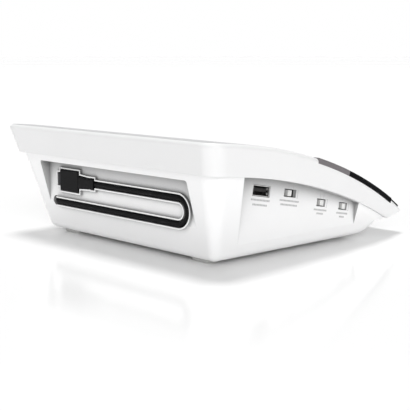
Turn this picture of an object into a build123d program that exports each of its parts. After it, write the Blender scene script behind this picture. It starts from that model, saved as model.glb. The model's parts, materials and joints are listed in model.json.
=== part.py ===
from build123d import *
import os
from math import atan2, cos, pi, radians, sin, sqrt

# Desktop cable modem.  Origin under the middle of the case, on the table.
# +Z up, -Y towards the low front edge, -X towards the USB and switch bay.

# ---------------------------------------------------------------- driving sizes (mm)
draft = 0.275  # outward run of every side wall per mm of height
ref_height = 49.1  # height at which the plan sizes below are stated
half_width = 90.6
rear_edge = 84.6
front_edge = -99.4
cover_corner = (9.0, 0.05)  # plan radius of the cover's corners, and what it gains per mm of height
base_corner = (12.2, 0.11)
wall = 2.2
shell_step = 2.34  # the lower shell stands this far inside the cover's rim

crown_radius = 394.6  # arc of the top, seen from the side
crown_y, crown_z = 111.4, -326.7
crown_front = -71.4
nose_tip = (-96.0, 8.2)  # end of the arc that carries the top down to the nose
seam_radius = 434.9  # arc of the cover's lower edge, seen from the side
seam_y, seam_z = 109.9, -384.3
seam_front = -73.0
nose_rise = 0.25  # upward slope of the nose's underside
roof = 2.4
tongue = 2.0  # the lower shell reaches this far up inside the cover
top_edge_round = 2.0
panel_edge_round = 0.7

floor_height = 2.0
keel_front = -51.0  # where the flat bottom starts to curve up to the nose
keel_radius = 20.5
keel_turn = 50.0
bottom_round = 5.5
flange_front = -70.5

panel_rear = 6.3
panel_split = -23.4  # border between the smoked strip and the black panel
panel_depth = 2.6
panel_tip = -82.5  # the panel runs on over the nose as a thin inlay
inlay_depth = 1.0
inlay_border = 1.2
panel_proud = 0.4

rear_bay_y = 74.35
rear_bay_top = 45.8
rear_bay_half = 67.0
rear_bay_low = 19.0
rear_wall_y = 70.8
bay_corner = 1.5
cable_radius = 1.7
cable_y = 74.6
upper_run_z = 34.8
lower_run_z = 20.9
turn_x = -61.0
exit_x = 60.5
exit_bend = 3.5
plug_front_y = 76.5
plug_back_y = 69.9
plug_x = (34.5, 53.5)
plug_z = (28.2, 41.0)
collar_x = (19.5, 22.8)
collar_height = 6.5
neck_heights = (5.6, 7.5)  # at the collar and at the plug
lip_width = 0.8
lip_y = 75.9

side_bay_x = 77.5
side_bay_floor = 2.2
side_bay_rear = 60.3
side_bay_front = -42.9
side_bay_low = 8.0

board_tilt = 10.3
board_origin_z = 25.67
board_thickness = 1.6
board_half = 74.6
board_rear = 66.0
board_front = -56.0

post_points = [(-56.0, 48.5, 28.0), (56.0, 48.5, 28.0), (-64.0, -46.0, 12.0), (64.0, -46.0, 12.0)]
post_radius = 4.5
screw_radius = 1.5
standoff_points = [(-45.0, 57.0), (45.0, 57.0), (-45.0, -48.0), (45.0, -48.0)]
foot_points = [(-59.0, 60.5), (59.0, 60.5), (-59.0, -34.0), (59.0, -34.0)]

usb_place = (38.2, 4.9)
switch_places = [(15.0, 5.6, 9.8), (-12.4, 2.4, 7.6), (-32.5, 1.9, 7.6)]  # y, height, window
window_height = 4.4
ethernet_place = (37.0, 2.0)
coax_place = (14.0, 3.5)
reset_place = (-8.0, 3.0)
power_place = (-30.0, 1.0)

cable_slack = 0.35  # room around the cable and the plug in their channel
channel_floor_y = 72.6
pocket_back_y = 67.4
grommet_radius = 3.2
screw_grip = 4.0
header_height = 5.0
header_local_y = 58.0
header_bend = 4.2
turn_radius = 6.9
plug_tip_y = 73.6
plug_tip_length = 2.9
plug_tip_height = 7.6
plug_tip_z = 35.0
neck_pocket_y = 71.2
coax_radius = 4.76
coax_reach = 12.0
coax_root = 5.0  # length of the slimmer root that the wall and the nut take up
switch_rest = 1.15
knob_width = 3.0
ribbon_local_y = -28.0
processor_point = (2.0, 25.0)
led_points = [-36.0, -18.0, 0.0, 18.0, 36.0]
led_y = -6.4  # where the row of status lights lies under the smoked strip
led_depth = 9.4  # top of the light board, measured down from the crown
light_pipe_radius = 1.5
light_screw_x = 44.0

board_plane = Plane(
    origin=(0, 0, board_origin_z),
    x_dir=(1, 0, 0),
    z_dir=(0, -sin(radians(board_tilt)), cos(radians(board_tilt))),
)

light_tilt = atan2(crown_y - led_y, sqrt(crown_radius**2 - (led_y - crown_y) ** 2))
light_plane = Plane(
    origin=(0, led_y, crown_z + sqrt(crown_radius**2 - (led_y - crown_y) ** 2)),
    x_dir=(1, 0, 0),
    z_dir=(0, -sin(light_tilt), cos(light_tilt)),
)


# ---------------------------------------------------------------- shared shapes
def crown_height(y, drop=0.0):
    """Height of the top arc at y, or of the arc that lies drop below it."""
    return crown_z + sqrt((crown_radius - drop) ** 2 - (y - crown_y) ** 2)


def seam_height(y):
    """Height of the cover's lower edge at y."""
    return seam_z + sqrt(seam_radius**2 - (y - seam_y) ** 2)


def tapered_block(inset, corners):
    """Drafted block with rounded corners, its walls moved inwards by inset."""
    with BuildPart() as block:
        for height in (0.0, 80.0):
            spread = draft * (height - ref_height) - inset
            rear = rear_edge + spread
            front = front_edge - spread
            corner = corners[0] + corners[1] * (height - ref_height) - inset
            with BuildSketch(Plane.XY.offset(height)):
                with Locations((0, (rear + front) / 2)):
                    RectangleRounded(2 * (half_width + spread), rear - front, corner)
        loft(ruled=True)
    return block.part


def under_crown(drop, y_front, y_rear):
    """Full-width slab between the ground and the top arc lowered by drop."""
    with BuildPart() as slab:
        with BuildSketch(Plane.YZ):
            with BuildLine():
                crown = ThreePointArc(
                    (y_rear, crown_height(y_rear, drop)),
                    ((y_rear + y_front) / 2, crown_height((y_rear + y_front) / 2, drop)),
                    (y_front, crown_height(y_front, drop)),
                )
                Polyline(crown @ 1, (y_front, -5), (y_rear, -5), crown @ 0)
            make_face()
        extrude(amount=110, both=True)
    return slab.part


def above_seam(lift):
    """Full-width slab from the cover's lower edge, raised by lift, to well above the case."""
    with BuildPart() as slab:
        with BuildSketch(Plane.YZ):
            with BuildLine():
                seam = ThreePointArc(
                    (110, seam_height(110) + lift),
                    (15, seam_height(15) + lift),
                    (seam_front, seam_height(seam_front) + lift),
                )
                nose = Line(seam @ 1, seam @ 1 + Vector(-40, 40 * nose_rise))
                Polyline(nose @ 1, ((nose @ 1).X, 90), (110, 90), seam @ 0)
            make_face()
        extrude(amount=110, both=True)
    return slab.part


def nose_profile(raise_by):
    """Full-width solid under the top arc and the nose that continues it."""
    with BuildPart() as slab:
        with BuildSketch(Plane.YZ):
            with BuildLine():
                crown = ThreePointArc(
                    (105, crown_height(105, -raise_by)),
                    (15, crown_height(15, -raise_by)),
                    (crown_front, crown_height(crown_front, -raise_by)),
                )
                nose = TangentArc(
                    crown @ 1,
                    (nose_tip[0], nose_tip[1] + raise_by),
                    tangent=crown % 1,
                )
                Polyline(nose @ 1, (nose_tip[0], -5), (105, -5), crown @ 0)
            make_face()
        extrude(amount=110, both=True)
    return slab.part


def keel_profile(rise):
    """Full-width solid above the curved bottom, raised by rise, back to the flange's front."""
    with BuildPart() as slab:
        with BuildSketch(Plane.YZ):
            with BuildLine():
                flat = Line((110, floor_height + rise), (keel_front, floor_height + rise))
                bend = JernArc(flat @ 1, (-1, 0), keel_radius - rise, -keel_turn)
                ledge = Line(bend @ 1, (flange_front + rise, seam_height(seam_front) - 1.0 + rise))
                Polyline(ledge @ 1, (flange_front + rise, 70), (110, 70), flat @ 0)
            make_face()
        extrude(amount=110, both=True)
    return slab.part


def box_between(low, high):
    """Plain block between two opposite corners."""
    with BuildPart() as block:
        with Locations([(Vector(*low) + Vector(*high)) * 0.5]):
            Box(high[0] - low[0], high[1] - low[1], high[2] - low[2])
    return block.part


def side_bay_cut(side):
    """Room of a side bay: outside its flat floor, between its end walls, under the cover."""
    with BuildPart() as room:
        with BuildSketch(Plane.YZ.offset(side * side_bay_x)):
            Polygon(
                (side_bay_rear, ref_height),
                (side_bay_rear - 5.8, side_bay_low),
                (side_bay_front, side_bay_low),
                (side_bay_front, ref_height),
                align=None,
            )
        extrude(amount=side * 25)
    return room.part


def plug_outline(grow):
    """Outline of the plug, its tip, its tapering neck and the collar, widened all round by grow."""
    slack = cable_slack + grow
    with BuildSketch() as outline:
        with Locations(((plug_x[0] + plug_x[1]) / 2, (plug_z[0] + plug_z[1]) / 2)):
            Rectangle(plug_x[1] - plug_x[0] + 2 * slack, plug_z[1] - plug_z[0] + 2 * slack)
        with Locations((plug_x[1] + plug_tip_length / 2, plug_tip_z)):
            Rectangle(plug_tip_length + 2 * slack, plug_tip_height + 2 * slack)
        Polygon(
            (collar_x[0], upper_run_z - neck_heights[0] / 2 - slack),
            (plug_x[0], upper_run_z - neck_heights[1] / 2 - slack),
            (plug_x[0], upper_run_z + neck_heights[1] / 2 + slack),
            (collar_x[0], upper_run_z + neck_heights[0] / 2 + slack),
            align=None,
        )
        with Locations(((collar_x[0] + collar_x[1]) / 2, upper_run_z)):
            Rectangle(collar_x[1] - collar_x[0] + 2 * slack, collar_height + 2 * slack)
    return outline.sketch


def channel_outline(grow):
    """Outline of the plug's pocket and the cable's channel, widened all round by grow."""
    channel_half = cable_radius + cable_slack + grow + 0.05
    with BuildSketch() as outline:
        add(plug_outline(grow))
        with BuildLine():
            FilletPolyline(
                (collar_x[0], upper_run_z),
                (turn_x, upper_run_z),
                (turn_x, lower_run_z),
                (exit_x, lower_run_z),
                radius=(upper_run_z - lower_run_z) / 2 - 0.05,
            )
        trace(line_width=2 * channel_half)
        with Locations((exit_x, lower_run_z)):
            Circle(channel_half)
    return outline.sketch


# ---------------------------------------------------------------- openings in the lower shell
with BuildPart() as plug_pocket:
    add(box_between(
        (plug_x[0] - cable_slack, plug_back_y - 0.3, plug_z[0] - cable_slack),
        (plug_x[1] + cable_slack, 90, plug_z[1] + cable_slack),
    ))
    with BuildSketch(Plane.XZ.offset(-neck_pocket_y)):
        add(plug_outline(0))
    extrude(amount=-20)

with BuildPart(board_plane) as bay_windows:
    with Locations((-side_bay_x, usb_place[0], usb_place[1])):
        Box(8.0, 13.6, 6.25)
    for y, height, window in switch_places:
        with Locations((-side_bay_x, y, height)):
            Box(8.0, window, window_height)
    with Locations((side_bay_x, ethernet_place[0], ethernet_place[1])):
        Box(8.0, 16.5, 13.7)
    with Locations((side_bay_x, power_place[0], power_place[1])):
        Box(8.0, 9.7, 11.5)
    with Locations(Location((side_bay_x, coax_place[0], coax_place[1]), (0, 90, 0))):
        Cylinder(coax_radius + 0.2, 8.0)
    with Locations(Location((side_bay_x, reset_place[0], reset_place[1]), (0, 90, 0))):
        Cylinder(1.8, 8.0)

# ---------------------------------------------------------------- case
cover_block = tapered_block(0, cover_corner)
base_block = tapered_block(shell_step, base_corner)
seam_slab = above_seam(0)
pieces = {}

with BuildPart() as cover_outer:
    add(cover_block)
    add(nose_profile(0), mode=Mode.INTERSECT)
    add(seam_slab, mode=Mode.INTERSECT)
    top_faces = cover_outer.faces().filter_by(GeomType.CYLINDER).group_by(Axis.Z)[-1]
    fillet(top_faces.edges().filter_by(lambda e: abs(e.center().Z) > 30), top_edge_round)

with BuildPart() as panel_inlay:
    add(box_between((-110, panel_tip, 0), (110, crown_front + 1, 90)))
    add(nose_profile(-inlay_depth), mode=Mode.SUBTRACT)
    add(tapered_block(inlay_border, cover_corner), mode=Mode.INTERSECT)

with BuildPart() as panel_room:
    add(box_between((-110, crown_front, 0), (110, panel_rear, 90)))
    add(under_crown(panel_depth, crown_front - 1, panel_rear + 1), mode=Mode.SUBTRACT)
    add(panel_inlay.part)

with BuildPart() as cover_hollow:
    add(under_crown(roof, panel_rear + 3.0, 105))
    add(under_crown(roof + panel_depth, flange_front - 0.2, 105))
    add(tapered_block(wall, cover_corner), mode=Mode.INTERSECT)

with BuildPart() as cover_bosses:
    for x, y, post_top in post_points:
        with BuildSketch(Plane.XY.offset(post_top + 0.1)):
            with Locations((x, y)):
                Circle(post_radius)
        extrude(amount=crown_height(y) - roof - post_top)
    with BuildSketch(light_plane.offset(-led_depth)):
        with Locations((-light_screw_x, 0), (light_screw_x, 0)):
            Circle(3.0)
    extrude(amount=led_depth - panel_depth - 1.0)

with BuildPart() as top_cover:
    add(cover_outer.part)
    add(cover_hollow.part, mode=Mode.SUBTRACT)
    add(cover_bosses.part)
    add(panel_room.part, mode=Mode.SUBTRACT)
    for x, y, post_top in post_points:
        with BuildSketch(Plane.XY.offset(post_top)):
            with Locations((x, y)):
                Circle(screw_radius + 0.05)
        extrude(amount=12, mode=Mode.SUBTRACT)
    with BuildSketch(light_plane):
        with Locations([(x, 0) for x in led_points]):
            Circle(light_pipe_radius + 0.1)
    extrude(amount=-8, mode=Mode.SUBTRACT)
    with BuildSketch(light_plane.offset(-led_depth)):
        with Locations((-light_screw_x, 0), (light_screw_x, 0)):
            Circle(1.0)
    extrude(amount=5, mode=Mode.SUBTRACT)
pieces["top_cover"] = top_cover

with BuildPart() as panel_skin:
    add(tapered_block(-panel_proud, cover_corner))
    add(nose_profile(panel_proud), mode=Mode.INTERSECT)
    skin_top = panel_skin.faces().filter_by(GeomType.CYLINDER).group_by(Axis.Z)[-1]
    fillet(skin_top.edges().filter_by(lambda e: abs(e.center().Z) > 30), panel_edge_round)
    add(panel_room.part, mode=Mode.INTERSECT)

with BuildPart() as front_panel:
    add(panel_skin.part)
    add(box_between((-110, -110, 0), (110, panel_split - 0.05, 90)), mode=Mode.INTERSECT)
pieces["front_panel"] = front_panel

with BuildPart() as status_lens:
    add(panel_skin.part)
    add(box_between((-110, panel_split + 0.05, 0), (110, 20, 90)), mode=Mode.INTERSECT)
pieces["status_lens"] = status_lens

with BuildPart() as base_outer:
    add(base_block)
    add(keel_profile(0), mode=Mode.INTERSECT)
    add(above_seam(tongue), mode=Mode.SUBTRACT)
    bottom = base_outer.faces().sort_by(Axis.Z)[0]
    keel = base_outer.faces().filter_by(GeomType.CYLINDER).sort_by(Axis.Z)[0]
    keel_sides = keel.edges().filter_by(lambda e: abs(e.center().X) > 40)
    bottom_edges = bottom.edges().filter_by(lambda e: e.center().Y > keel_front + 1)
    fillet(bottom_edges + keel_sides, bottom_round)

with BuildPart() as base_cavity:
    add(tapered_block(shell_step + wall, base_corner))
    add(keel_profile(wall), mode=Mode.INTERSECT)
    bottom = base_cavity.faces().sort_by(Axis.Z)[0]
    fillet(bottom.edges().filter_by(lambda e: e.center().Y > keel_front + 1), bottom_round - wall)

with BuildPart() as base_backing:
    add(box_between((-rear_bay_half - wall, rear_wall_y, 12), (rear_bay_half + wall, 95, 60)))
    add(box_between((17.0, pocket_back_y, 17.0), (66.0, 95, 44.0)))
    for side in (-1, 1):
        ends = sorted((side * (side_bay_x - side_bay_floor), side * 105))
        add(box_between((ends[0], side_bay_front - wall, 4), (ends[1], side_bay_rear + wall, 60)))
    for x, y, post_top in post_points:
        with BuildSketch(Plane.XY):
            with Locations((x, y)):
                Circle(post_radius)
        extrude(amount=post_top)
    with BuildSketch(board_plane.offset(-board_thickness)):
        with Locations(standoff_points):
            Circle(3.2)
    extrude(amount=-60)
    add(base_outer.part, mode=Mode.INTERSECT)

with BuildPart() as rear_bay:
    with BuildSketch(Plane.XZ.offset(-rear_bay_y)):
        with Locations((0, (rear_bay_top + rear_bay_low) / 2)):
            RectangleRounded(2 * rear_bay_half, rear_bay_top - rear_bay_low, bay_corner)
    extrude(amount=-25)

with BuildPart() as channel_lips:
    with BuildSketch(Plane.XZ.offset(-rear_wall_y)):
        add(channel_outline(lip_width))
        add(channel_outline(0), mode=Mode.SUBTRACT)
    extrude(amount=rear_wall_y - lip_y)

with BuildPart() as side_bays:
    for side in (-1, 1):
        add(side_bay_cut(side))
    add(seam_slab, mode=Mode.SUBTRACT)

with BuildPart() as base_shell:
    add(base_outer.part)
    add(base_cavity.part, mode=Mode.SUBTRACT)
    add(base_backing.part)
    add(rear_bay.part, mode=Mode.SUBTRACT)
    add(channel_lips.part)
    with BuildSketch(Plane.XZ.offset(-channel_floor_y)):
        add(channel_outline(0))
    extrude(amount=-20, mode=Mode.SUBTRACT)
    add(plug_pocket.part, mode=Mode.SUBTRACT)
    with BuildSketch(Plane.XZ.offset(-90)):
        with Locations((exit_x, lower_run_z)):
            Circle(grommet_radius)
    extrude(amount=30, mode=Mode.SUBTRACT)
    add(side_bays.part, mode=Mode.SUBTRACT)
    add(bay_windows.part, mode=Mode.SUBTRACT)
    for x, y, post_top in post_points:
        with BuildSketch(Plane.XY):
            with Locations((x, y)):
                Circle(3.1)
        extrude(amount=post_top - screw_grip, mode=Mode.SUBTRACT)
        with BuildSketch(Plane.XY.offset(post_top - screw_grip)):
            with Locations((x, y)):
                Circle(screw_radius + 0.2)
        extrude(amount=screw_grip + 1, mode=Mode.SUBTRACT)
    with BuildSketch(board_plane.offset(-board_thickness)):
        with Locations(standoff_points):
            Circle(1.25)
    extrude(amount=-7, mode=Mode.SUBTRACT)
    with BuildSketch(Plane.XY):
        with GridLocations(5.0, 60.0, 14, 2):
            SlotOverall(22.0, 2.0, rotation=90)
    extrude(amount=2 * floor_height + wall, mode=Mode.SUBTRACT)
    with BuildSketch(Plane.XY):
        with Locations(foot_points):
            RectangleRounded(15.2, 9.2, 3.1)
    extrude(amount=floor_height + 0.8, mode=Mode.SUBTRACT)
pieces["base_shell"] = base_shell

with BuildPart() as feet:
    with BuildSketch(Plane.XY):
        with Locations(foot_points):
            RectangleRounded(15.0, 9.0, 3.0)
    extrude(amount=floor_height + 0.8)
    fillet(feet.edges().group_by(Axis.Z)[0], 0.6)
pieces["feet"] = feet

with BuildPart() as case_screws:
    for x, y, post_top in post_points:
        seat = post_top - screw_grip
        with Locations((x, y, seat - 1.0)):
            Cylinder(2.75, 2.0)
            Box(3.2, 0.7, 2.0, mode=Mode.SUBTRACT, align=(Align.CENTER, Align.CENTER, Align.MAX))
            Box(0.7, 3.2, 2.0, mode=Mode.SUBTRACT, align=(Align.CENTER, Align.CENTER, Align.MAX))
        with Locations((x, y, seat)):
            Cylinder(screw_radius, 13.0, align=(Align.CENTER, Align.CENTER, Align.MIN))
pieces["case_screws"] = case_screws

# ---------------------------------------------------------------- stowed lead
with BuildPart() as cable:
    header_plane = board_plane.offset(-board_thickness - header_height)
    header_point = header_plane.from_local_coords((exit_x, header_local_y, 0))
    down = header_plane.z_dir * -1
    drop = (header_point.Z - lower_run_z) / -down.Z
    with BuildLine():
        route = FilletPolyline(
            (collar_x[0], cable_y, upper_run_z),
            (turn_x, cable_y, upper_run_z),
            (turn_x, cable_y, lower_run_z),
            (exit_x, cable_y, lower_run_z),
            header_point + down * drop,
            header_point,
            radius=[turn_radius, turn_radius, exit_bend, header_bend],
        )
    with BuildSketch(Plane(route @ 0, z_dir=route % 0)):
        Circle(cable_radius)
    sweep(path=route)
pieces["cable"] = cable
cable_section = pi * cable_radius**2
print("cable length", round(route.length, 1), "volume / section", cable.part.volume / cable_section)

with BuildPart() as cable_grommet:
    with Locations(Location((exit_x, pocket_back_y, lower_run_z), (-90, 0, 0))):
        Cylinder(grommet_radius - 0.02, 3.4, align=(Align.CENTER, Align.CENTER, Align.MIN))
        Cylinder(grommet_radius + 1.2, 1.0, align=(Align.CENTER, Align.CENTER, Align.MAX))
        Cylinder(cable_radius + 0.05, 12, mode=Mode.SUBTRACT)
pieces["cable_grommet"] = cable_grommet

with BuildPart() as lead_header:
    with BuildSketch(board_plane.offset(-board_thickness)):
        with Locations((exit_x, header_local_y)):
            RectangleRounded(8.0, 6.0, 0.6)
    extrude(amount=-header_height)
pieces["lead_header"] = lead_header

plug_centre = (sum(plug_x) / 2, (plug_back_y + plug_front_y) / 2, sum(plug_z) / 2)
with BuildPart() as plug_body:
    with Locations(plug_centre):
        Box(plug_x[1] - plug_x[0], plug_front_y - plug_back_y, plug_z[1] - plug_z[0])
    fillet(plug_body.edges().filter_by(Axis.Y), 1.4)
    fillet(plug_body.edges().group_by(Axis.Y)[-1], 0.8)
pieces["plug_body"] = plug_body

with BuildPart() as strain_relief:
    with BuildSketch(Plane.YZ.offset(plug_x[0])):
        with Locations((cable_y - 0.4, upper_run_z)):
            RectangleRounded(4.6, neck_heights[1], 1.0)
    with BuildSketch(Plane.YZ.offset(collar_x[1])):
        with Locations((cable_y - 0.2, upper_run_z)):
            RectangleRounded(4.2, neck_heights[0], 1.0)
    loft()
    with BuildSketch(Plane.YZ.offset(collar_x[0])):
        with Locations((cable_y - 0.2, upper_run_z)):
            RectangleRounded(4.6, collar_height, 1.2)
    extrude(amount=collar_x[1] - collar_x[0])
pieces["strain_relief"] = strain_relief

with BuildPart() as plug_shell:
    with BuildSketch(Plane.YZ.offset(plug_x[1])):
        with Locations((plug_tip_y, plug_tip_z)):
            RectangleRounded(3.8, plug_tip_height, 0.8)
            RectangleRounded(3.1, plug_tip_height - 0.7, 0.5, mode=Mode.SUBTRACT)
    extrude(amount=plug_tip_length)
pieces["plug_shell"] = plug_shell

with BuildPart() as plug_insert:
    with BuildSketch(Plane.YZ.offset(plug_x[1])):
        with Locations((plug_tip_y - 0.5, plug_tip_z)):
            Rectangle(1.6, 6.4)
    extrude(amount=plug_tip_length - 0.6)
pieces["plug_insert"] = plug_insert

# ---------------------------------------------------------------- main board
def on_board(points, width, length, height, base=0.0):
    """Blocks standing on the board; points are their centres in the board's own X and Y."""
    with BuildPart() as blocks:
        with BuildSketch(board_plane.offset(base)):
            with Locations(points):
                Rectangle(width, length)
        extrude(amount=height)
    return blocks.part


with BuildPart() as main_board:
    with BuildSketch(board_plane):
        with Locations((0, (board_rear + board_front) / 2)):
            RectangleRounded(2 * board_half, board_rear - board_front, 2.0)
        with Locations(standoff_points):
            Circle(1.4, mode=Mode.SUBTRACT)
        with Locations((board_half, ethernet_place[0])):
            Rectangle(2 * (board_half - 60.0), 16.6, mode=Mode.SUBTRACT)
        with Locations((board_half, power_place[0])):
            Rectangle(2 * (board_half - 63.0), 9.8, mode=Mode.SUBTRACT)
    extrude(amount=-board_thickness)
    for x, y, post_top in post_points:
        with BuildSketch(Plane.XY):
            with Locations((x, y)):
                Circle(post_radius + 0.7)
        extrude(amount=70, mode=Mode.SUBTRACT)
pieces["main_board"] = main_board

with BuildPart() as board_screws:
    with BuildSketch(board_plane):
        with Locations(standoff_points):
            Circle(2.5)
    extrude(amount=1.7)
    fillet(board_screws.edges().filter_by(GeomType.CIRCLE).group_by(Axis.Z)[-1], 0.4)
    with BuildSketch(board_plane):
        with Locations(standoff_points):
            Circle(1.2)
    extrude(amount=-board_thickness - 6)
pieces["board_screws"] = board_screws

with BuildPart() as processor:
    add(on_board([processor_point], 23, 23, 1.6))
pieces["processor"] = processor

with BuildPart() as thermal_pad:
    add(on_board([processor_point], 21, 21, 0.8, 1.6))
pieces["thermal_pad"] = thermal_pad

with BuildPart() as heat_sink:
    add(on_board([processor_point], 34, 34, 2.0, 2.4))
    fin_points = [(processor_point[0] + 4 * step, processor_point[1]) for step in range(-4, 5)]
    add(on_board(fin_points, 1.2, 34, 7.0, 4.4))
pieces["heat_sink"] = heat_sink

with BuildPart() as memory_chips:
    add(on_board([(-28, 22), (-28, 4)], 13, 9, 1.1))
pieces["memory_chips"] = memory_chips

with BuildPart() as flash_chip:
    add(on_board([(-8, -18)], 18, 12, 1.1))
pieces["flash_chip"] = flash_chip

with BuildPart() as tuner_shield:
    add(on_board([(40, 14)], 32, 26, 5.0))
    add(on_board([(40, 14)], 31.2, 25.2, 4.6), mode=Mode.SUBTRACT)
    with BuildSketch(board_plane.offset(5.0)):
        with Locations((40, 14)):
            with GridLocations(5.0, 5.0, 5, 4):
                Circle(0.9)
    extrude(amount=-1, mode=Mode.SUBTRACT)
pieces["tuner_shield"] = tuner_shield

with BuildPart() as ethernet_transformer:
    add(on_board([(43, 38)], 15, 12, 6.0))
pieces["ethernet_transformer"] = ethernet_transformer

with BuildPart() as capacitors:
    with BuildSketch(board_plane):
        with Locations((52, -16), (52, -27), (52, -38)):
            Circle(4.0)
    extrude(amount=11)
    fillet(capacitors.edges().filter_by(GeomType.CIRCLE).group_by(Axis.Z)[-1], 0.5)
pieces["capacitors"] = capacitors

with BuildPart() as inductors:
    add(on_board([(36, -20), (36, -34)], 10, 10, 4.5))
    fillet(inductors.edges().filter_by(lambda e: abs(e.length - 4.5) < 0.01), 1.6)
pieces["inductors"] = inductors

with BuildPart() as crystal:
    with BuildSketch(board_plane):
        with Locations((-28, -8)):
            SlotOverall(11.0, 4.6)
    extrude(amount=3.5)
pieces["crystal"] = crystal

# ---------------------------------------------------------------- side bay: USB and switches
usb_y, usb_height = usb_place
tongue_rise = 0.45
tongue_thickness = 1.84
contact_thickness = 0.25
with BuildPart(board_plane) as usb_shell:
    with Locations((-70.2, usb_y, usb_height)):
        Box(14.0, 13.1, 5.7)
        Box(14.0, 12.5, 5.1, mode=Mode.SUBTRACT)
pieces["usb_shell"] = usb_shell

with BuildPart(board_plane) as usb_insulator:
    with Locations((-64.6, usb_y, usb_height)):
        Box(2.8, 12.4, 5.0)
    with Locations((-62.1, usb_y, 3.8)):
        Box(2.2, 12.4, 7.6)
    with Locations((-68.1, usb_y, 1.0)):
        Box(14.2, 12.4, 2.0)
    with Locations((-70.7, usb_y, usb_height + tongue_rise)):
        Box(9.4, 11.1, tongue_thickness)
pieces["usb_insulator"] = usb_insulator

contact_height = usb_height + tongue_rise - (tongue_thickness + contact_thickness) / 2
with BuildPart(board_plane) as usb_contacts:
    with Locations([(-70.2, usb_y + offset, contact_height) for offset in (-3.5, -1, 1, 3.5)]):
        Box(6.4, 1.0, contact_thickness)
pieces["usb_contacts"] = usb_contacts

for number, (y, height, window) in enumerate(switch_places, start=1):
    knob_shift = 0.0 if number == 1 else -switch_rest
    with BuildPart(board_plane) as switch_body:
        with Locations((-72.2, y, (height + 2.4) / 2)):
            Box(5.6, window + 2.6, height + 2.4)
        with Locations((-74.0, y, height)):
            Box(2.4, window - 0.4, 3.6, mode=Mode.SUBTRACT)
    pieces[f"switch_{number}_body"] = switch_body

    with BuildPart(board_plane) as switch_knob:
        with Locations((-75.2, y + knob_shift, height)):
            Box(4.2, knob_width, 3.3)
        fillet(switch_knob.edges().group_by(Axis.X)[0], 0.3)
    pieces[f"switch_{number}_knob"] = switch_knob

# ---------------------------------------------------------------- far side bay: sockets
ethernet_y, ethernet_height = ethernet_place
with BuildPart(board_plane) as ethernet_shield:
    with Locations((68.9, ethernet_y, ethernet_height)):
        Box(17.0, 16.0, 13.2)
        Box(17.0, 15.4, 12.6, mode=Mode.SUBTRACT)
pieces["ethernet_shield"] = ethernet_shield

with BuildPart(board_plane) as ethernet_housing:
    with Locations((68.7, ethernet_y, ethernet_height)):
        Box(16.6, 15.3, 12.5)
    with Locations((70.6, ethernet_y, ethernet_height + 0.6)):
        Box(13.0, 11.9, 7.4, mode=Mode.SUBTRACT)
    with Locations((70.6, ethernet_y, ethernet_height - 4.0)):
        Box(13.0, 6.0, 2.4, mode=Mode.SUBTRACT)
pieces["ethernet_housing"] = ethernet_housing

with BuildPart(board_plane) as ethernet_contacts:
    contact_points = [(67.6, ethernet_y + 1.02 * (n - 3.5), ethernet_height + 3.6) for n in range(8)]
    with Locations(contact_points):
        Box(6.6, 0.4, 0.9)
pieces["ethernet_contacts"] = ethernet_contacts

coax_y, coax_height = coax_place
coax_axis = Plane(
    origin=board_plane.from_local_coords((side_bay_x - side_bay_floor - 0.2, coax_y, coax_height)),
    x_dir=board_plane.y_dir,
    z_dir=(1, 0, 0),
)
with BuildPart(coax_axis) as coax_connector:
    with Locations((0, 0, -6.0)):
        Box(11.0, 7.0, 12.0)
    Cylinder(coax_radius - 0.16, coax_reach, align=(Align.CENTER, Align.CENTER, Align.MIN))
    with Locations((0, 0, coax_root)):
        Cylinder(coax_radius, coax_reach - coax_root, align=(Align.CENTER, Align.CENTER, Align.MIN))
    with Locations((0, 0, -8.0)):
        Cylinder(3.3, coax_reach + 8.0, align=(Align.CENTER, Align.CENTER, Align.MIN), mode=Mode.SUBTRACT)
    chamfer(coax_connector.edges().filter_by(GeomType.CIRCLE).sort_by(Axis.X)[-1], 0.4)
pieces["coax_connector"] = coax_connector

with BuildPart(coax_axis) as coax_insulator:
    with Locations((0, 0, -8.0)):
        Cylinder(3.28, coax_reach + 7.0, align=(Align.CENTER, Align.CENTER, Align.MIN))
    with Locations((0, 0, coax_reach - 7.0)):
        Cylinder(0.6, 8.0, align=(Align.CENTER, Align.CENTER, Align.MIN), mode=Mode.SUBTRACT)
pieces["coax_insulator"] = coax_insulator

with BuildPart() as coax_nut:
    with BuildSketch(coax_axis.offset(side_bay_floor + 0.25)):
        RegularPolygon(6.4, 6)
        Circle(coax_radius - 0.1, mode=Mode.SUBTRACT)
    extrude(amount=2.2)
pieces["coax_nut"] = coax_nut

reset_y, reset_height = reset_place
with BuildPart(board_plane) as reset_switch:
    with Locations((70.4, reset_y, reset_height)):
        Box(6.0, 6.0, 6.0)
pieces["reset_switch"] = reset_switch

reset_axis = Plane(
    origin=board_plane.from_local_coords((74.2, reset_y, reset_height)),
    x_dir=board_plane.y_dir,
    z_dir=(1, 0, 0),
)
with BuildPart(reset_axis) as reset_button:
    Cylinder(1.5, 3.9, align=(Align.CENTER, Align.CENTER, Align.MIN))
    fillet(reset_button.edges().filter_by(GeomType.CIRCLE).sort_by(Axis.X)[-1], 0.3)
pieces["reset_button"] = reset_button

power_y, power_height = power_place
power_axis = Plane(
    origin=board_plane.from_local_coords((77.4, power_y, power_height)),
    x_dir=board_plane.y_dir,
    z_dir=(1, 0, 0),
)
with BuildPart(power_axis) as power_jack:
    with Locations((0, 0, -7.0)):
        Box(9.2, 11.0, 14.0)
    with Locations((0, 0, -11.0)):
        Cylinder(3.2, 11.0, align=(Align.CENTER, Align.CENTER, Align.MIN), mode=Mode.SUBTRACT)
pieces["power_jack"] = power_jack

with BuildPart(power_axis) as power_pin:
    with Locations((0, 0, -11.0)):
        Cylinder(1.0, 9.5, align=(Align.CENTER, Align.CENTER, Align.MIN))
    fillet(power_pin.edges().filter_by(GeomType.CIRCLE).sort_by(Axis.X)[-1], 0.4)
pieces["power_pin"] = power_pin

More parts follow.
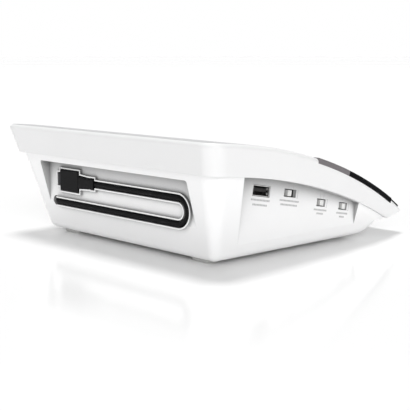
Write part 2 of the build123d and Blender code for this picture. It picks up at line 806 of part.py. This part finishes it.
# ---------------------------------------------------------------- status lights
with BuildPart() as light_board:
    with BuildSketch(light_plane.offset(-led_depth)):
        Rectangle(96, 10)
        with Locations((-light_screw_x, 0), (light_screw_x, 0)):
            Circle(1.1, mode=Mode.SUBTRACT)
    extrude(amount=-1.2)
pieces["light_board"] = light_board

with BuildPart() as leds:
    with BuildSketch(light_plane.offset(-led_depth)):
        with Locations([(x, 0) for x in led_points]):
            Rectangle(3.0, 2.6)
    extrude(amount=1.1)
pieces["leds"] = leds

with BuildPart() as light_pipes:
    with BuildSketch(light_plane.offset(-led_depth + 1.2)):
        with Locations([(x, 0) for x in led_points]):
            Circle(light_pipe_radius)
    extrude(amount=led_depth - 1.2 - panel_depth - 0.05)
pieces["light_pipes"] = light_pipes

with BuildPart() as light_board_screws:
    with BuildSketch(light_plane.offset(-led_depth - 1.2)):
        with Locations((-light_screw_x, 0), (light_screw_x, 0)):
            Circle(2.0)
    extrude(amount=-1.4)
    with BuildSketch(light_plane.offset(-led_depth - 1.2)):
        with Locations((-light_screw_x, 0), (light_screw_x, 0)):
            Circle(0.95)
    extrude(amount=5.5)
pieces["light_board_screws"] = light_board_screws

board_socket = board_plane.offset(4.0)
light_socket = light_plane.offset(-led_depth - 1.2 - 3.0)
ribbon_points = [
    board_socket.from_local_coords((0, ribbon_local_y, 0)),
    board_socket.from_local_coords((0, ribbon_local_y, 7)),
    light_socket.from_local_coords((0, 0, -5)),
    light_socket.from_local_coords((0, 0, 0)),
]
with BuildPart() as ribbon_sockets:
    with BuildSketch(board_plane):
        with Locations((0, ribbon_local_y)):
            Rectangle(14, 5)
    extrude(amount=4.0)
    with BuildSketch(light_plane.offset(-led_depth - 1.2)):
        Rectangle(14, 5)
    extrude(amount=-3.0)
pieces["ribbon_sockets"] = ribbon_sockets

with BuildPart() as ribbon_cable:
    with BuildSketch(Plane.YZ):
        with BuildLine():
            FilletPolyline([(point.Y, point.Z) for point in ribbon_points], radius=3.0)
        trace(line_width=0.5)
    extrude(amount=5.0, both=True)
pieces["ribbon_cable"] = ribbon_cable

os.makedirs("parts", exist_ok=True)
for name, piece in pieces.items():
    piece.part.label = name
    export_step(piece.part, f"parts/{name}.step")
print("pieces", len(pieces))
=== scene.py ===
import json
from math import cos, pi, sin

import bmesh
import bpy
from mathutils import Matrix, Vector
from mathutils.bvhtree import BVHTree


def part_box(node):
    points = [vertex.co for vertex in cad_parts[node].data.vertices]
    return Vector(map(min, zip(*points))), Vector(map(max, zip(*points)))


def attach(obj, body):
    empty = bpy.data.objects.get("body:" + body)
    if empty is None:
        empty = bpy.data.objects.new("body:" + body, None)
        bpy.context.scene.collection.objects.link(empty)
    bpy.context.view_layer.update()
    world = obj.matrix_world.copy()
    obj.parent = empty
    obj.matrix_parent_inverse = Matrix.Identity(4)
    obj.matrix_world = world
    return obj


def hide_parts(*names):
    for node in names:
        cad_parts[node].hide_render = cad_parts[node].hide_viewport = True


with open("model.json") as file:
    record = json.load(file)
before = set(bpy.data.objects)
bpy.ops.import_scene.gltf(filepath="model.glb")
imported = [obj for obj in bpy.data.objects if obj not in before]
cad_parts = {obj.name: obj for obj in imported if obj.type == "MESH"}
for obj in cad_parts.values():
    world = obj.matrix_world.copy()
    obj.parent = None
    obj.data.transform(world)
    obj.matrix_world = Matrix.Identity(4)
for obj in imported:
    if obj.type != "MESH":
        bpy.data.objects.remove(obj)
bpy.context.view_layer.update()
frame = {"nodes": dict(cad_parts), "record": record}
scene = bpy.context.scene
NODES = frame["nodes"]
JOINTS = {joint["name"]: joint for joint in frame["record"]["behaviour"]["joints"]}
MM = 0.001
CASE = "case"


# ---------------------------------------------------------------- camera and light
def add_camera(place, ahead, lens):
    """A camera at place, looking along ahead, level with the horizon."""
    data = bpy.data.cameras.new("camera")
    data.lens = lens
    data.sensor_width = 36.0
    camera = bpy.data.objects.new("camera", data)
    camera.location = place
    camera.rotation_euler = Vector(ahead).to_track_quat("-Z", "Y").to_euler()
    scene.collection.objects.link(camera)
    scene.camera = camera


def add_sun(name, towards, strength, angle):
    """A soft light from far away that shines along towards."""
    data = bpy.data.lights.new(name, "SUN")
    data.energy = strength
    data.angle = angle
    light = bpy.data.objects.new(name, data)
    light.rotation_euler = Vector(towards).to_track_quat("-Z", "Y").to_euler()
    scene.collection.objects.link(light)


add_camera(place=(-0.4284, 0.4046, 0.1091), ahead=(0.7232, -0.6731, -0.1545), lens=84.06)

scene.view_settings.view_transform = "Standard"


def add_sky(horizon, bright_up_to, overhead, dim_from):
    """A white studio that dims with height, from horizon to overhead brightness."""
    world = bpy.data.worlds.new("studio")
    scene.world = world
    world.use_nodes = True
    tree = world.node_tree
    place = tree.nodes.new("ShaderNodeTexCoord")
    split = tree.nodes.new("ShaderNodeSeparateXYZ")
    ramp = tree.nodes.new("ShaderNodeValToRGB")
    low, high = ramp.color_ramp.elements
    low.position = bright_up_to
    low.color = (horizon, horizon, horizon, 1.0)
    high.position = dim_from
    high.color = (overhead, overhead, overhead, 1.0)
    tree.links.new(place.outputs["Generated"], split.inputs["Vector"])
    tree.links.new(split.outputs["Z"], ramp.inputs["Fac"])
    tree.links.new(ramp.outputs["Color"], tree.nodes["Background"].inputs["Color"])
    tree.nodes["Background"].inputs["Strength"].default_value = 1.0


add_sky(horizon=1.0, bright_up_to=0.1, overhead=0.4, dim_from=0.3)
add_sun("overhead", towards=(-0.2, 0.12, -1.0), strength=2.0, angle=0.3)
add_sun("side", towards=(0.78, -0.56, -0.33), strength=1.5, angle=0.7)


# ---------------------------------------------------------------- materials
def new_material(name):
    """An empty node material and its principled shader."""
    material = bpy.data.materials.new(name)
    material.use_nodes = True
    return material, material.node_tree.nodes["Principled BSDF"]


def add_noise(tree, scale, detail):
    """Noise that runs through the object in its own coordinates."""
    place = tree.nodes.new("ShaderNodeTexCoord")
    noise = tree.nodes.new("ShaderNodeTexNoise")
    noise.inputs["Scale"].default_value = scale
    noise.inputs["Detail"].default_value = detail
    tree.links.new(place.outputs["Object"], noise.inputs["Vector"])
    return noise.outputs["Fac"]


def add_ramp(tree, factor, stops):
    """Colour ramp over factor; stops are (position, colour) pairs."""
    ramp = tree.nodes.new("ShaderNodeValToRGB")
    first, last = ramp.color_ramp.elements
    for element, (position, colour) in ((first, stops[0]), (last, stops[-1])):
        element.position = position
        element.color = (*colour, 1.0)
    for position, colour in stops[1:-1]:
        ramp.color_ramp.elements.new(position).color = (*colour, 1.0)
    tree.links.new(factor, ramp.inputs["Fac"])
    return ramp.outputs["Color"]


def add_product(tree, one, other):
    """Two colours multiplied."""
    mix = tree.nodes.new("ShaderNodeMix")
    mix.data_type = "RGBA"
    mix.blend_type = "MULTIPLY"
    mix.inputs["Factor"].default_value = 1.0
    tree.links.new(one, mix.inputs["A"])
    tree.links.new(other, mix.inputs["B"])
    return mix.outputs["Result"]


def add_range(tree, factor, low, high):
    """A factor of 0 to 1 spread over low to high."""
    spread = tree.nodes.new("ShaderNodeMapRange")
    spread.inputs["To Min"].default_value = low
    spread.inputs["To Max"].default_value = high
    tree.links.new(factor, spread.inputs["Value"])
    return spread.outputs["Result"]


def add_bump(tree, shader, height, strength, distance):
    """Fine relief on the shader's surface."""
    bump = tree.nodes.new("ShaderNodeBump")
    bump.inputs["Strength"].default_value = strength
    bump.inputs["Distance"].default_value = distance
    tree.links.new(height, bump.inputs["Height"])
    tree.links.new(bump.outputs["Normal"], shader.inputs["Normal"])


def moulded_plastic(
    name, colour, roughness, grain=900.0, depth=0.02, tint=0.03, painted_recess_shade=0.0, painted_top_shade=None, sheen=0.5
):
    """Injection-moulded plastic: faint colour drift, uneven gloss and a fine spark-eroded grain, with
    painted shade where asked.

    Two optional arguments paint shade into the colour: one darkens recesses by ambient occlusion, the
    other darkens faces that look up.
    """
    material, shader = new_material(name)
    shader.inputs["Specular IOR Level"].default_value = sheen
    tree = material.node_tree
    dark = [channel * (1.0 - tint) for channel in colour]
    base = add_ramp(tree, add_noise(tree, 28.0, 3.0), [(0.3, dark), (0.7, colour)])
    # painted shade: the base colour is darkened in recesses by ambient occlusion, standing in for the
    # shade that falls there
    if painted_recess_shade:
        occlusion = tree.nodes.new("ShaderNodeAmbientOcclusion")
        occlusion.inputs["Distance"].default_value = 30 * MM
        occlusion.only_local = True
        shade = [1.0 - painted_recess_shade] * 3
        middle = [1.0 - 0.45 * painted_recess_shade] * 3
        stops = [(0.15, shade), (0.66, middle), (0.94, (1.0, 1.0, 1.0))]
        base = add_product(tree, base, add_ramp(tree, occlusion.outputs["AO"], stops))
    # painted shade: faces that look up are darkened in the base colour
    if painted_top_shade:
        geometry = tree.nodes.new("ShaderNodeNewGeometry")
        split = tree.nodes.new("ShaderNodeSeparateXYZ")
        tree.links.new(geometry.outputs["Normal"], split.inputs["Vector"])
        stops = [(0.88, (1.0, 1.0, 1.0)), (0.97, painted_top_shade)]
        base = add_product(tree, base, add_ramp(tree, split.outputs["Z"], stops))
    tree.links.new(base, shader.inputs["Base Color"])
    grit = add_noise(tree, grain, 2.0)
    unevenness = 0.05
    gloss = add_range(tree, grit, roughness - unevenness, roughness + unevenness)
    tree.links.new(gloss, shader.inputs["Roughness"])
    add_bump(tree, shader, grit, depth, 0.2 * MM)
    return material


def polished_plastic(name, colour, roughness, sheen):
    """Gloss panel: dark moulded plastic with faint swirls in its polish."""
    material, shader = new_material(name)
    shader.inputs["Specular IOR Level"].default_value = sheen
    tree = material.node_tree
    lighter = [channel * 1.15 for channel in colour]
    swirls = add_noise(tree, 160.0, 5.0)
    tree.links.new(add_ramp(tree, swirls, [(0.3, colour), (0.7, lighter)]), shader.inputs["Base Color"])
    tree.links.new(add_range(tree, swirls, roughness * 0.7, roughness * 1.4), shader.inputs["Roughness"])
    return material


def plated_metal(name, colour, roughness):
    """Plated sheet or turned metal: brushed roughness streaks and a faint stain."""
    material, shader = new_material(name)
    tree = material.node_tree
    shader.inputs["Metallic"].default_value = 1.0
    stained = [channel * 0.88 for channel in colour]
    stain = add_ramp(tree, add_noise(tree, 220.0, 3.0), [(0.35, stained), (0.65, colour)])
    tree.links.new(stain, shader.inputs["Base Color"])
    place = tree.nodes.new("ShaderNodeTexCoord")
    stretch = tree.nodes.new("ShaderNodeMapping")
    stretch.inputs["Scale"].default_value = (60.0, 900.0, 900.0)
    tree.links.new(place.outputs["Object"], stretch.inputs["Vector"])
    streaks = tree.nodes.new("ShaderNodeTexNoise")
    streaks.inputs["Scale"].default_value = 2.0
    tree.links.new(stretch.outputs["Vector"], streaks.inputs["Vector"])
    low, high = max(roughness - 0.08, 0.03), roughness + 0.1
    tree.links.new(add_range(tree, streaks.outputs["Fac"], low, high), shader.inputs["Roughness"])
    return material


def circuit_board(name):
    """Solder mask over copper: lighter tracks show through a dark green lacquer."""
    material, shader = new_material(name)
    tree = material.node_tree
    place = tree.nodes.new("ShaderNodeTexCoord")
    tracks = tree.nodes.new("ShaderNodeTexBrick")
    tracks.inputs["Scale"].default_value = 160.0
    tracks.inputs["Mortar Size"].default_value = 0.06
    tracks.inputs["Color1"].default_value = (0.010, 0.070, 0.030, 1.0)
    tracks.inputs["Color2"].default_value = (0.012, 0.090, 0.038, 1.0)
    tracks.inputs["Mortar"].default_value = (0.040, 0.180, 0.070, 1.0)
    tree.links.new(place.outputs["Object"], tracks.inputs["Vector"])
    tree.links.new(tracks.outputs["Color"], shader.inputs["Base Color"])
    tree.links.new(add_range(tree, add_noise(tree, 300.0, 2.0), 0.25, 0.4), shader.inputs["Roughness"])
    add_bump(tree, shader, tracks.outputs["Fac"], 0.2, 0.1 * MM)
    return material


def leather_grained_rubber(name, colour):
    """Matt rubber with a coarse grain."""
    return moulded_plastic(name, colour, 0.75, grain=1400.0, depth=0.35, tint=0.12)


# The case white is painted lighter than the cover white, painted light that offsets the shade on the
# lower body; both stand for the same white plastic.
CASE_WHITE_PAINTED_LIGHTER = (0.90, 0.90, 0.902)
COVER_WHITE = (0.80, 0.80, 0.802)
# painted shade for the cover's upward faces, darker than the white because of how light falls there
COVER_TOP_PAINTED_SHADE = (0.68, 0.68, 0.685)
SLOT_MATERIALS = {
    # this white gets painted shade in its recesses
    "white_case": moulded_plastic("white_case", CASE_WHITE_PAINTED_LIGHTER, 0.4, tint=0.01, painted_recess_shade=0.9),
    "black_gloss": polished_plastic("black_gloss", (0.004, 0.004, 0.005), 0.08, 0.02),
    "smoked_lens": polished_plastic("smoked_lens", (0.16, 0.15, 0.155), 0.16, 0.05),
    "pale_rubber": leather_grained_rubber("pale_rubber", (0.5, 0.5, 0.49)),
    "black_jacket": moulded_plastic("black_jacket", (0.0035, 0.0035, 0.004), 0.5, depth=0.05, sheen=0.12),
    "ivory_nylon": moulded_plastic("ivory_nylon", (0.75, 0.72, 0.62), 0.5),
    "black_plastic": moulded_plastic("black_plastic", (0.006, 0.006, 0.006), 0.5),
    "grey_plastic": moulded_plastic("grey_plastic", (0.12, 0.12, 0.125), 0.45),
    "white_knob": moulded_plastic("white_knob", (0.82, 0.82, 0.81), 0.4),
    "chip_black": moulded_plastic("chip_black", (0.015, 0.015, 0.016), 0.55, depth=0.15),
    "thermal_grey": moulded_plastic("thermal_grey", (0.35, 0.37, 0.4), 0.8),
    "capacitor_sleeve": moulded_plastic("capacitor_sleeve", (0.01, 0.015, 0.05), 0.25),
    "ferrite": moulded_plastic("ferrite", (0.05, 0.05, 0.052), 0.7, depth=0.3),
    "led_white": moulded_plastic("led_white", (0.8, 0.8, 0.6), 0.3),
    "clear_plastic": moulded_plastic("clear_plastic", (0.8, 0.82, 0.85), 0.15),
    "board_green": circuit_board("board_green"),
    "steel": plated_metal("steel", (0.55, 0.55, 0.56), 0.35),
    "dark_metal": plated_metal("dark_metal", (0.05, 0.05, 0.055), 0.35),
    "black_anodised": plated_metal("black_anodised", (0.05, 0.05, 0.055), 0.5),
    "tin_plate": plated_metal("tin_plate", (0.7, 0.7, 0.68), 0.3),
    "bright_metal": plated_metal("bright_metal", (0.75, 0.75, 0.74), 0.2),
    "gold": plated_metal("gold", (0.85, 0.6, 0.2), 0.25),
    "nickel": plated_metal("nickel", (0.68, 0.66, 0.62), 0.22),
}
for part in frame["record"]["subparts"]:
    mesh = NODES[part["node"]].data
    mesh.materials.clear()
    mesh.materials.append(SLOT_MATERIALS[part["material_slot"]])

# the cover's white carries painted shade in its recesses and on its upward faces
white_cover = moulded_plastic("white_cover", COVER_WHITE, 0.4, tint=0.01, painted_recess_shade=0.5, painted_top_shade=COVER_TOP_PAINTED_SHADE)
NODES["top_cover"].data.materials[0] = white_cover
usb_tongue = moulded_plastic("usb_tongue", (0.03, 0.029, 0.029), 0.5, sheen=0.2)
NODES["usb_insulator"].data.materials[0] = usb_tongue
# the USB contacts are painted dark in place of their plating, painted shade for the deep socket
NODES["usb_contacts"].data.materials[0] = plated_metal("painted_shade_contacts", (0.10, 0.095, 0.08), 0.5)
printed_ink = moulded_plastic("printed_ink", (0.46, 0.455, 0.46), 0.6, tint=0.15)
status_glow = moulded_plastic("status_glow", (0.30, 0.32, 0.30), 0.3)
plate_film = moulded_plastic("plate_film", (0.62, 0.62, 0.63), 0.35)


# ---------------------------------------------------------------- pieces
def middle_of(node):
    """Middle of a node's box."""
    low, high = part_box(node)
    return (Vector(low) + Vector(high)) / 2


def finish_piece(mesh, body, slot, material=None):
    """Puts a mesh in the scene as a piece that rides on body, in the slot's material or the one given."""
    piece = bpy.data.objects.new(mesh.name, mesh)
    scene.collection.objects.link(piece)
    mesh.materials.append(material or SLOT_MATERIALS[slot])
    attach(piece, body)
    return piece


def bevelled_blocks(name, blocks, bevel):
    """One mesh of blocks with rounded edges; a block is (centre, axes, half sizes)."""
    shape = bmesh.new()
    for centre, axes, halves in blocks:
        turn = Matrix([[axis[row] for axis in axes] for row in range(3)]).to_4x4()
        sized = Matrix.Diagonal((*[2 * half for half in halves], 1.0))
        bmesh.ops.create_cube(shape, size=1.0, matrix=Matrix.Translation(centre) @ turn @ sized)
    if bevel:
        bmesh.ops.bevel(shape, geom=shape.edges[:], offset=bevel, segments=2, affect="EDGES")
    mesh = bpy.data.meshes.new(name)
    shape.to_mesh(mesh)
    shape.free()
    return mesh


def grid_mesh(name, rows, closed_rows=False):
    """Mesh through a grid of points, given as equal rows that each close on themselves."""
    mesh = bpy.data.meshes.new(name)
    width = len(rows[0])
    points = [point for row in rows for point in row]
    faces = []
    for number in range(len(rows) if closed_rows else len(rows) - 1):
        here, there = number * width, (number + 1) % len(rows) * width
        for step in range(width):
            after = (step + 1) % width
            faces.append((here + step, here + after, there + after, there + step))
    mesh.from_pydata(points, [], faces)
    mesh.update()
    return mesh


# ---------------------------------------------------------------- slide switches and their legends
ALONG = Vector(JOINTS["switch_1_slide"]["axis"])  # along a switch's slot, towards the rear
UPRIGHT = Vector((0.0, -ALONG.z, ALONG.y))
OUTWARD = Vector((-1.0, 0.0, 0.0))
BAY_FLOOR_X = -77.5 * MM  # the side bay's flat floor
INK_LIFT = 0.02 * MM  # from the bay's floor to the middle of a printed stroke
INK_HALF_THICKNESS = 0.03 * MM
LINE_WIDTH = 0.22  # of the guide lines and brackets, in mm like the other strokes
AXES = (OUTWARD, ALONG, UPRIGHT)


def add_knob_ridges(number):
    """Three finger ridges across the face of a switch's knob."""
    knob = f"switch_{number}_knob"
    face_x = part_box(knob)[0][0]
    middle = middle_of(knob)
    pitch = 0.8 * MM
    proud = 0.05 * MM  # from the knob's face to a ridge's middle
    halves = (0.15 * MM, 0.16 * MM, 1.2 * MM)
    blocks = []
    for step in (-1, 0, 1):
        centre = Vector((face_x - proud, middle.y, middle.z)) + ALONG * step * pitch
        blocks.append((centre, AXES, halves))
    mesh = bevelled_blocks(f"{knob}_ridges", blocks, 0.06 * MM)
    finish_piece(mesh, f"switch_{number}_slider", "white_knob")


def legend_blocks(centre, strokes):
    """Flat printed strokes on the bay floor; a stroke is (along, up, width, height) in mm."""
    blocks = []
    for along, up, width, height in strokes:
        place = Vector((BAY_FLOOR_X - INK_LIFT, centre.y, centre.z))
        place += ALONG * along * MM + UPRIGHT * up * MM
        blocks.append((place, AXES, (INK_HALF_THICKNESS, width / 2 * MM, height / 2 * MM)))
    return blocks


def dash_row(width, up):
    """A row of short dashes, which stands where the case carries a printed caption."""
    pitch = 1.15
    dash_width, dash_height = 0.8, 1.0
    count = int(width / pitch)
    first = -(count - 1) / 2
    return [((first + step) * pitch, up, dash_width, dash_height) for step in range(count)]


def add_switch_legend(number, half_slot, rows):
    """Guide lines over a switch's slot, a bracket before it and caption dashes below."""
    travel = JOINTS[f"switch_{number}_slide"]["range_m"]
    middle = middle_of(f"switch_{number}_knob") + ALONG * sum(travel) / 2
    guide_middle, guide_height = 4.3, 3.2
    bracket = -(half_slot + 1.5)
    bracket_height, arm_width, arm_height = 4.6, 0.9, 0.2
    arm_middle = bracket + 0.4
    strokes = [
        (half_slot * 0.35, guide_middle, LINE_WIDTH, guide_height),
        (-half_slot * 0.45, guide_middle, LINE_WIDTH, guide_height),
        (bracket, 0.0, LINE_WIDTH, bracket_height),
        (arm_middle, bracket_height / 2, arm_width, arm_height),
        (arm_middle, -bracket_height / 2, arm_width, arm_height),
    ]
    for up, width in rows:
        strokes += dash_row(width, up)
    mesh = bevelled_blocks(f"switch_{number}_legend", legend_blocks(middle, strokes), 0.0)
    finish_piece(mesh, CASE, "grey_plastic", printed_ink)


HALF_SLOTS = {1: 4.9, 2: 3.8, 3: 3.8}  # half lengths of the switches' windows, in mm
# Caption rows under each switch, as (height above the slot's middle, width) in mm
LEGEND_ROWS = {
    1: ((-4.3, 17.0), (-6.6, 14.0)),
    2: ((-4.2, 11.5), (-6.3, 6.0)),
    3: ((-4.2, 10.5), (-6.3, 5.0)),
}
for switch, rows in LEGEND_ROWS.items():
    add_knob_ridges(switch)
    add_switch_legend(switch, HALF_SLOTS[switch], rows)

usb_strokes = dash_row(15.0, -5.0) + dash_row(12.0, -7.6)
usb_legend = bevelled_blocks("usb_legend", legend_blocks(middle_of("usb_shell"), usb_strokes), 0.0)
finish_piece(usb_legend, CASE, "grey_plastic", printed_ink)


# ---------------------------------------------------------------- USB socket's grip springs
def add_usb_springs():
    """Leaf springs that bulge from the shell's end walls to grip the plug."""
    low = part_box("usb_shell")[0]
    middle = middle_of("usb_shell")
    wall = 6.25 * MM  # inner half width of the shell
    set_back = 0.6 * MM  # from the shell's mouth to a spring's root
    length, height, thickness = 3.6 * MM, 0.55 * MM, 0.15 * MM
    clearance = 0.02 * MM
    above_middle = 1.35 * MM
    lift = UPRIGHT * 0.55 * MM  # half of a spring's width
    steps = 8
    for end in (-1, 1):
        for row in (-1, 1):
            root = Vector((low[0] + set_back, middle.y, middle.z))
            root += ALONG * end * wall + UPRIGHT * row * above_middle
            rows = []
            for step in range(steps + 1):
                share = step / steps
                bulge = height * sin(pi * share) + clearance
                spot = root + Vector((length * share, 0.0, 0.0))
                inner = spot - ALONG * end * bulge
                outer = spot - ALONG * end * (bulge - thickness)
                rows.append([inner + lift, inner - lift, outer - lift, outer + lift])
            side = "front" if end < 0 else "rear"
            level = "low" if row < 0 else "high"
            mesh = grid_mesh(f"usb_spring_{side}_{level}", rows)
            finish_piece(mesh, CASE, "bright_metal")


add_usb_springs()


# ---------------------------------------------------------------- coaxial connector with its thread
def add_coax_barrel():
    """Connector with a helical thread; stands for the plain CAD connector."""
    low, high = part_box("coax_connector")
    thread_mount = next(m for m in frame["record"]["mounts"] if m["name"] == "coax_thread")
    axis = Vector(thread_mount["pos_m"])
    crest, root, bore = 4.76 * MM, 4.38 * MM, 3.3 * MM
    neck = crest - 0.16 * MM
    pitch = 0.79 * MM
    thread_length = 7.0 * MM
    run_out = 0.1 * MM  # plain neck behind the thread
    lead_in = 0.5 * MM  # plain tip before the thread
    chamfer = 0.4 * MM
    turn_steps = 48
    flank_steps = 8
    tip = high[0]
    start = tip - thread_length
    back = low[0] + 11.8 * MM  # where the barrel meets its block
    rings = []

    def thread_radius(x, angle):
        phase = ((x - low[0]) / pitch + angle / (2 * pi)) % 1.0
        return root + (crest - root) * (1.0 - abs(2.0 * phase - 1.0))

    def add_ring(x, radius=None):
        """A circle at x, which follows the thread where no radius is given."""
        circle = []
        for step in range(turn_steps):
            angle = 2 * pi * step / turn_steps
            reach = radius or thread_radius(x, angle)
            circle.append(Vector((x, axis.y + reach * cos(angle), axis.z + reach * sin(angle))))
        rings.append(circle)

    add_ring(back, bore)
    add_ring(back, neck)
    add_ring(start - run_out, neck)
    count = int(thread_length / pitch * flank_steps)
    for step in range(count):
        add_ring(start + (thread_length - lead_in) * step / (count - 1))
    add_ring(tip - 0.9 * lead_in, root)
    add_ring(tip, root - chamfer)
    add_ring(tip, bore)
    mesh = grid_mesh("coax_barrel", rings, closed_rows=True)
    barrel = finish_piece(mesh, CASE, "nickel")

    block_middle = Vector(((low[0] + back) / 2, axis.y, axis.z))
    block_halves = ((back - low[0]) / 2, 5.5 * MM, 3.5 * MM)
    block = bevelled_blocks("coax_block", [(block_middle, AXES, block_halves)], 0.3 * MM)
    finish_piece(block, CASE, "nickel")
    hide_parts("coax_connector")


add_coax_barrel()


# ---------------------------------------------------------------- status marks on the smoked strip
def add_status_marks():
    """Small round windows in the smoked strip, one over each light pipe."""
    lens = NODES["status_lens"]
    tree = BVHTree.FromObject(lens, bpy.context.evaluated_depsgraph_get())
    low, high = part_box("light_pipes")
    radius = 1.5 * MM
    marks = 5
    circle_steps = 24
    hub = 0.02  # share of the radius at which a mark's face closes
    # A mark's section, as (share of the radius, lift in mm)
    outline = ((0.0, -0.02), (1.0, -0.02), (1.0, 0.02), (0.85, 0.05), (0.0, 0.05))
    first, last = low[0] + radius, high[0] - radius
    y = middle_of("light_pipes").y + 1.0 * MM
    for number in range(marks):
        x = first + (last - first) * number / (marks - 1)
        spot, normal = tree.ray_cast(Vector((x, y, 1.0)), Vector((0.0, 0.0, -1.0)))[:2]
        side = normal.cross(Vector((1.0, 0.0, 0.0))).normalized()
        ahead = side.cross(normal)
        rows = []
        for share, lift in outline:
            middle = spot + normal * lift * MM
            reach = max(share, hub) * radius
            circle = []
            for step in range(circle_steps):
                angle = 2 * pi * step / circle_steps
                circle.append(middle + (ahead * cos(angle) + side * sin(angle)) * reach)
            rows.append(circle)
        mesh = grid_mesh(f"status_mark_{number + 1}", rows)
        finish_piece(mesh, CASE, "smoked_lens", status_glow)


add_status_marks()


# ---------------------------------------------------------------- rating plate under the case
def add_rating_plate():
    """Blank sticker with plain bars, on the flat bottom between the vents."""
    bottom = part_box("base_shell")[0][2]
    axes = (Vector((1, 0, 0)), Vector((0, 1, 0)), Vector((0, 0, 1)))
    plate_halves = (30 * MM, 14 * MM, 0.06 * MM)
    plate = [(Vector((0.0, 0.0, bottom - 0.05 * MM)), axes, plate_halves)]
    mesh = bevelled_blocks("rating_plate", plate, 0.04 * MM)
    finish_piece(mesh, CASE, "white_case", plate_film)

    bar_half_widths = (22 * MM, 17 * MM, 20 * MM, 12 * MM)
    bars_left = -26 * MM
    top_bar_y = 8 * MM
    bar_pitch = 5 * MM
    bars = []
    for row, half_width in enumerate(bar_half_widths):
        centre = Vector((bars_left + half_width, top_bar_y - bar_pitch * row, bottom - 0.12 * MM))
        bars.append((centre, axes, (half_width, 0.6 * MM, 0.02 * MM)))
    mesh = bevelled_blocks("rating_bars", bars, 0.0)
    finish_piece(mesh, CASE, "grey_plastic")


add_rating_plate()


# ---------------------------------------------------------------- floor
floor_material, floor_shader = new_material("floor")
floor_shader.inputs["Base Color"].default_value = (0.93, 0.93, 0.93, 1.0)
floor_shader.inputs["Roughness"].default_value = 0.12
floor_shader.inputs["Specular IOR Level"].default_value = 0.25
floor_mesh = bpy.data.meshes.new("floor")
reach = 60.0  # far enough for the floor's edge to meet the white horizon
floor_corners = [(-reach, -reach, 0), (reach, -reach, 0), (reach, reach, 0), (-reach, reach, 0)]
floor_mesh.from_pydata(floor_corners, [], [(0, 1, 2, 3)])
floor = bpy.data.objects.new("floor", floor_mesh)
floor_mesh.materials.append(floor_material)
scene.collection.objects.link(floor)
